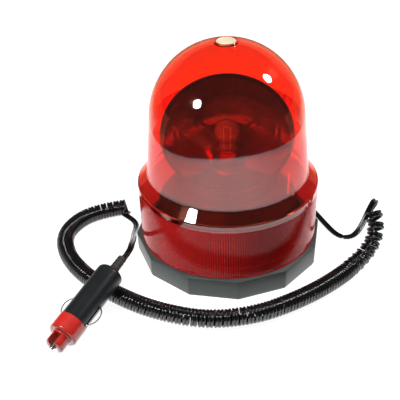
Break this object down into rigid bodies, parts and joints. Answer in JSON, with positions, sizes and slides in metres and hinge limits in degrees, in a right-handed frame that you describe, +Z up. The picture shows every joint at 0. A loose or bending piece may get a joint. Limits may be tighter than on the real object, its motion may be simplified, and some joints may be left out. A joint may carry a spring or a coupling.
{
  "type": "magnetic warning light",
  "caption": "Red domed vehicle warning light with a turning reflector, magnetic base and curly lead with a lighter plug.",
  "frame": {"origin": "centre of the base's underside, on the surface that it stands on", "axes": "+Z up along the dome, -Y to the front, where the reflector looks at rest, +X to the right"},
  "size_m": [0.2517, 0.2193, 0.1629],
  "materials": {
    "red_cover": "clear red, glossy",
    "bare_disc": "bare and satin",
    "grey_plastic": "satin",
    "black_rubber": "matte",
    "magnet": "dull",
    "steel": "satin",
    "black_plastic": "satin",
    "white_plastic": "satin",
    "bright_metal": "plated and bright",
    "brass": "satin",
    "reflector_coat": "mirror bright",
    "clear_glass": "clear",
    "red_plastic": "glossy",
    "red_wire": "glossy",
    "black_lead": "glossy"
  },
  "bodies": {
    "light": {"base_pad": "black_rubber", "base_housing": "grey_plastic", "magnet_ring": "magnet", "magnet_plate": "steel", "dome_seal": "black_rubber", "chassis_cover": "black_plastic", "cover_screws": "steel", "chassis_plate": "steel", "plate_screws": "steel", "motor_can": "steel", "lamp_post": "bright_metal", "thrust_washer": "white_plastic", "bulb_socket": "bright_metal", "socket_insulator": "white_plastic", "socket_contact": "brass", "inner_wire": "red_wire", "cable_grommet": "black_rubber", "cord_lead": "black_lead", "cord_coil": "black_lead", "cord_tail": "black_lead", "plug_strain_relief": "black_rubber", "plug_body": "black_plastic", "plug_tip": "red_plastic", "plug_fuse": "clear_glass", "pin_spring": "steel"},
    "cover": {"dome": "red_cover", "top_disc": "bare_disc"},
    "rotor": {"turntable": "black_plastic", "drive_gear": "white_plastic", "reflector": "reflector_coat", "reflector_screws": "steel"},
    "motor_rotor": {"motor_shaft": "steel", "motor_pinion": "white_plastic"},
    "bulb": {"bulb_cap": "bright_metal", "bulb_glass": "clear_glass", "bulb_filament": "steel"},
    "contact_pin": {"plug_pin": "bright_metal"},
    "left_bow": {"side_contact_left": "steel"},
    "right_bow": {"side_contact_right": "steel"}
  },
  "joints": [
    {"name": "reflector_spin", "type": "hinge", "parent": "light", "child": "rotor", "pos_m": [0, 0, 0], "axis": [0, 0, 1], "continuous": true},
    {"name": "motor_spin", "type": "hinge", "parent": "light", "child": "motor_rotor", "pos_m": [0.026, 0, 0.043], "axis": [0, 0, 1], "continuous": true},
    {"name": "dome_twist", "type": "hinge", "parent": "light", "child": "cover", "pos_m": [0, 0, 0.016], "axis": [0, 0, 1], "range_deg": [0, 18]},
    {"name": "bulb_twist", "type": "hinge", "parent": "light", "child": "bulb", "pos_m": [0, 0, 0.0745], "axis": [0, 0, 1], "range_deg": [0, 25]},
    {"name": "pin_press", "type": "slide", "parent": "light", "child": "contact_pin", "axis": [0.4801, 0.8451, 0.2354], "range_m": [0, 0.0032], "stiffness_N_per_m": 500, "springref_m": -0.002, "deforming": ["pin_spring"]},
    {"name": "left_bow_press", "type": "slide", "parent": "light", "child": "left_bow", "axis": [0.8695, -0.4939, 0], "range_m": [0, 0.0026], "stiffness_N_per_m": 400, "springref_m": -0.001},
    {"name": "right_bow_press", "type": "slide", "parent": "light", "child": "right_bow", "axis": [-0.8695, 0.4939, 0], "range_m": [0, 0.0026], "stiffness_N_per_m": 400, "springref_m": -0.001}
  ],
  "couplings": [
    {"joint": "motor_spin", "follows": "reflector_spin", "ratio": -4.2}
  ]
}
